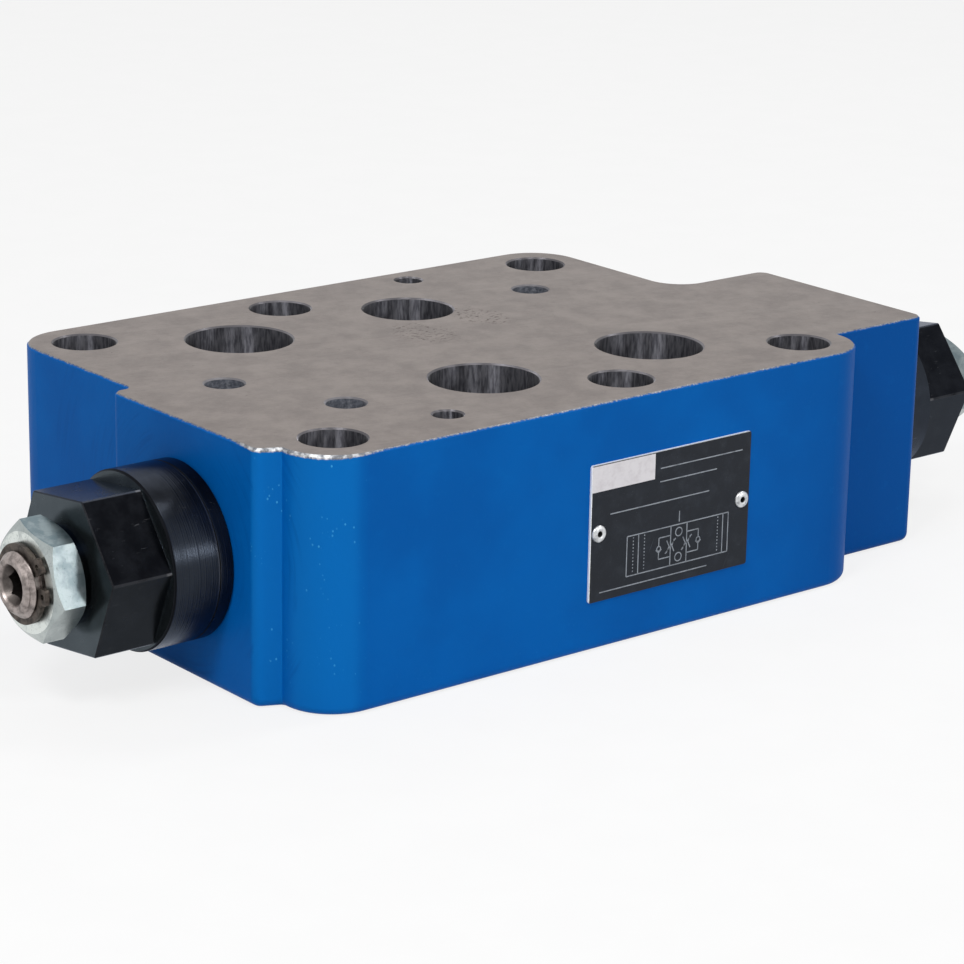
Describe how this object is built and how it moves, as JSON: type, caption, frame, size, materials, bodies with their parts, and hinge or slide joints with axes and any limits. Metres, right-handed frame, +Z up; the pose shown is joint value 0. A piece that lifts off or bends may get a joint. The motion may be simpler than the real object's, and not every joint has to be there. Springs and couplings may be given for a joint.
{
  "type": "throttle non-return valve",
  "caption": "Sandwich plate throttle non-return valve with a ported block and screw adjusters locked by hex nuts at both ends.",
  "frame": {"origin": "centre of the fixing hole pattern on the lower mounting face", "axes": "+X along the adjusters' axis towards the longer extension, +Y towards the P and T ports, +Z up out of the upper face"},
  "size_m": [0.2702, 0.1183, 0.055],
  "materials": {
    "painted_casting": "satin blue enamel over cast iron, ground bare faces",
    "black_oxide_steel": "black oxide",
    "zinc_plated_steel": "bright zinc plating",
    "bare_steel": "turned and ground",
    "spring_steel": "phosphated spring steel",
    "seal_rubber": "matt black",
    "nameplate_black": "black anodised sheet",
    "rivet_metal": "plain"
  },
  "bodies": {
    "housing": {"valve_housing": "painted_casting", "port_seals": "seal_rubber", "pilot_port_seals": "seal_rubber", "nameplate": "nameplate_black", "nameplate_rivets": "rivet_metal", "left_end_plug": "black_oxide_steel", "left_plug_seal": "seal_rubber", "left_seat_ring": "bare_steel", "right_end_plug": "black_oxide_steel", "right_plug_seal": "seal_rubber", "right_seat_ring": "bare_steel"},
    "left_spindle": {"left_stop_spindle": "bare_steel", "left_stop_ring": "spring_steel", "left_spool_spring": "spring_steel"},
    "left_screw": {"left_setting_screw": "bare_steel", "left_screw_seal": "seal_rubber", "left_retaining_ring": "spring_steel"},
    "left_spool": {"left_throttle_spool": "bare_steel"},
    "left_nut": {"left_lock_nut": "zinc_plated_steel"},
    "right_spindle": {"right_stop_spindle": "bare_steel", "right_stop_ring": "spring_steel", "right_spool_spring": "spring_steel"},
    "right_screw": {"right_setting_screw": "bare_steel", "right_screw_seal": "seal_rubber", "right_retaining_ring": "spring_steel"},
    "right_spool": {"right_throttle_spool": "bare_steel"},
    "right_nut": {"right_lock_nut": "zinc_plated_steel"}
  },
  "joints": [
    {"name": "left_screw_travel", "type": "slide", "parent": "housing", "child": "left_spindle", "axis": [-1, 0, 0], "range_m": [0, 0.006]},
    {"name": "left_screw_turn", "type": "hinge", "parent": "left_spindle", "child": "left_screw", "pos_m": [-0.0825, -0.0175, 0.0275], "axis": [-1, 0, 0], "range_deg": [0, 1440.1]},
    {"name": "left_spool_lift", "type": "slide", "parent": "left_spindle", "child": "left_spool", "axis": [-1, 0, 0], "range_m": [0, 0.004], "stiffness_N_per_m": 5000, "springref_m": -0.0018, "deforming": ["left_spool_spring"]},
    {"name": "left_nut_turn", "type": "hinge", "parent": "housing", "child": "left_nut", "pos_m": [-0.0825, -0.0175, 0.0275], "axis": [-1, 0, 0], "range_deg": [0, 180]},
    {"name": "right_screw_travel", "type": "slide", "parent": "housing", "child": "right_spindle", "axis": [1, 0, 0], "range_m": [0, 0.006]},
    {"name": "right_screw_turn", "type": "hinge", "parent": "right_spindle", "child": "right_screw", "pos_m": [0.1063, -0.0175, 0.0275], "axis": [1, 0, 0], "range_deg": [0, 1440.1]},
    {"name": "right_spool_lift", "type": "slide", "parent": "right_spindle", "child": "right_spool", "axis": [1, 0, 0], "range_m": [0, 0.004], "stiffness_N_per_m": 5000, "springref_m": -0.0018, "deforming": ["right_spool_spring"]},
    {"name": "right_nut_turn", "type": "hinge", "parent": "housing", "child": "right_nut", "pos_m": [0.1063, -0.0175, 0.0275], "axis": [1, 0, 0], "range_deg": [0, 180]}
  ],
  "couplings": [
    {"joint": "left_screw_turn", "follows": "left_screw_travel", "rad_per_m": 4188.8},
    {"joint": "right_screw_turn", "follows": "right_screw_travel", "rad_per_m": 4188.8}
  ]
}
